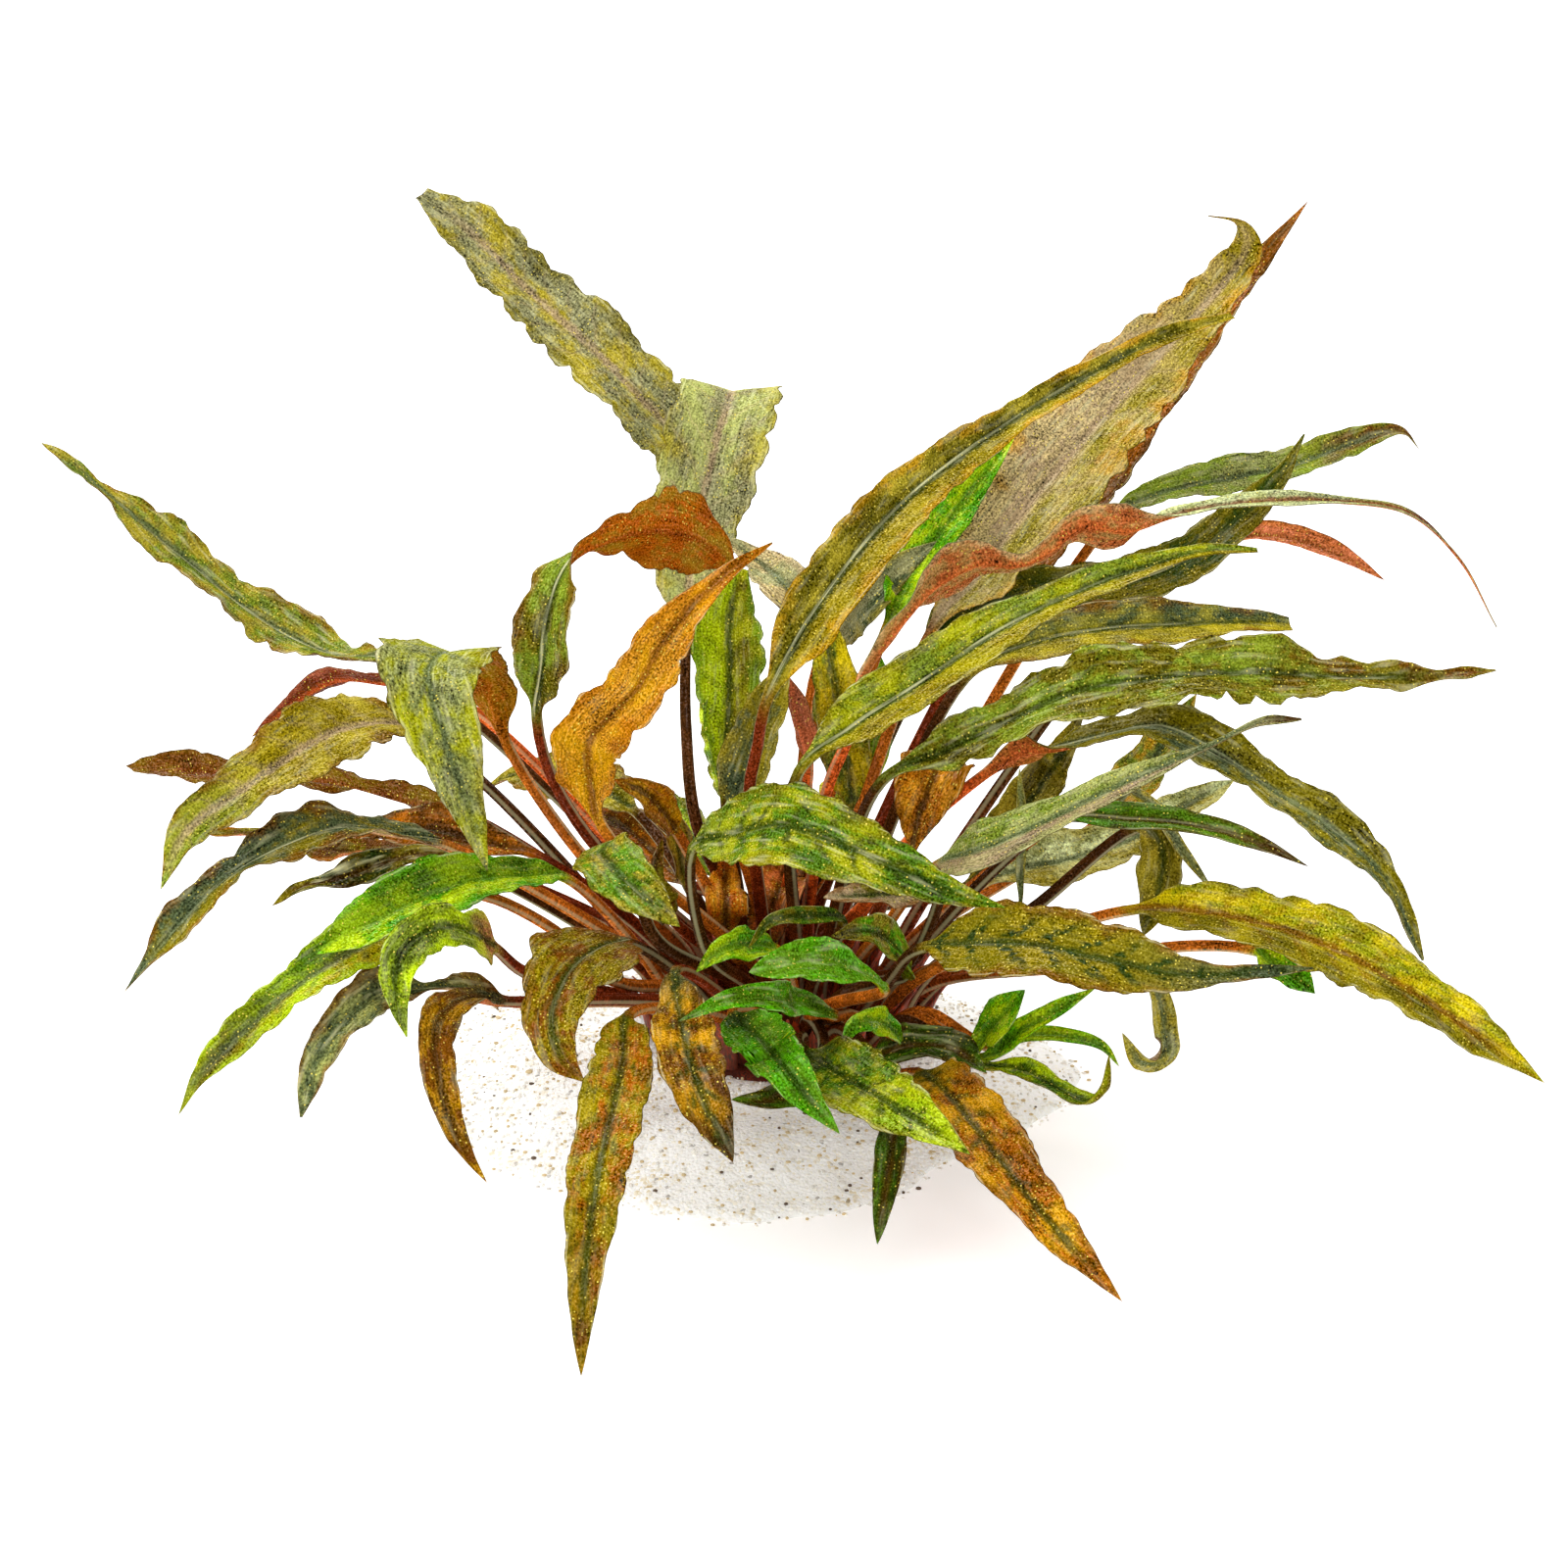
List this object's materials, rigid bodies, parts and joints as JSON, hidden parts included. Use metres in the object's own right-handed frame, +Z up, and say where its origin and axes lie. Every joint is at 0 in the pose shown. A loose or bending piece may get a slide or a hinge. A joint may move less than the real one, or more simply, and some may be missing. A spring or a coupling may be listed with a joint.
{
  "type": "cryptocoryne plant",
  "caption": "Rosette water plant with long, ruffled, arching leaves on slender stalks, growing from a short crown in a small free bed of sand.",
  "frame": {"origin": "on the flat underside of the sand bed, below the middle of the crown", "axes": "+Z up, -Y towards the viewer of the picture, +X to that viewer's right"},
  "size_m": [0.3089, 0.2628, 0.1652],
  "materials": {
    "crown": "brown fibrous rootstock, matte",
    "leaf_amber": "amber-brown leaf, satin",
    "leaf_bright": "fresh green leaf, satin",
    "leaf_brown": "brown leaf with a dark midrib, satin",
    "leaf_dark": "dark green leaf, satin",
    "leaf_green": "mottled green leaf, satin",
    "leaf_grey": "grey-green leaf with a pale bloom, satin",
    "leaf_olive": "olive leaf with brown marbling, satin",
    "leaf_rust": "rust-red leaf underside, satin",
    "leaf_yellow": "yellow-green leaf with dark veins, satin",
    "sand": "white sand with ochre and dark grains, matte"
  },
  "bodies": {
    "root": {"amber_centre_left": "leaf_amber", "back_bright_green": "leaf_bright", "back_green_erect": "leaf_yellow", "back_left_tall": "leaf_grey", "back_low_leaf": "leaf_olive", "back_right_tall": "leaf_brown", "back_right_wide": "leaf_grey", "back_tall_fold": "leaf_grey", "centre_big_green": "leaf_green", "centre_olive_flat": "leaf_olive", "centre_right_amber": "leaf_amber", "centre_right_long": "leaf_amber", "crown": "crown", "front_amber_long": "leaf_amber", "front_brown_mottled": "leaf_brown", "front_dark_down": "leaf_dark", "front_green_blade": "leaf_bright", "front_green_wide": "leaf_green", "front_left_brown_hang": "leaf_brown", "front_right_amber": "leaf_amber", "left_arch_olive": "leaf_olive", "left_arch_twist": "leaf_olive", "left_back_ruffle": "leaf_olive", "left_bright_green": "leaf_bright", "left_brown_round": "leaf_brown", "left_centre_olive": "leaf_olive", "left_curled_dark": "leaf_dark", "left_flat_brown": "leaf_brown", "left_fold_hanging": "leaf_yellow", "left_green_drop": "leaf_green", "left_grey_twist": "leaf_grey", "left_high_long": "leaf_green", "left_long_droop": "leaf_green", "left_red_edge": "leaf_rust", "left_small_fold": "leaf_yellow", "left_yellow_long": "leaf_yellow", "right_arch_down": "leaf_grey", "right_back_yellow": "leaf_yellow", "right_big_olive": "leaf_yellow", "right_big_wavy": "leaf_olive", "right_dark_green_low": "leaf_dark", "right_dark_spear": "leaf_olive", "right_far_long": "leaf_yellow", "right_grey_spear": "leaf_grey", "right_low_bright": "leaf_bright", "right_low_curl": "leaf_grey", "right_mid_long_green": "leaf_green", "right_mid_olive": "leaf_yellow", "right_olive_vertical": "leaf_olive", "right_pale_amber": "leaf_amber", "right_red_twist": "leaf_rust", "right_small_amber": "leaf_amber", "right_thin_grey": "leaf_grey", "right_upper_pale": "leaf_grey", "sand_bed": "sand", "young_shoot_back": "leaf_green", "young_shoot_centre": "leaf_amber", "young_shoot_front": "leaf_dark", "young_shoot_left": "leaf_rust", "young_shoot_right": "leaf_bright"}
  },
  "joints": []
}
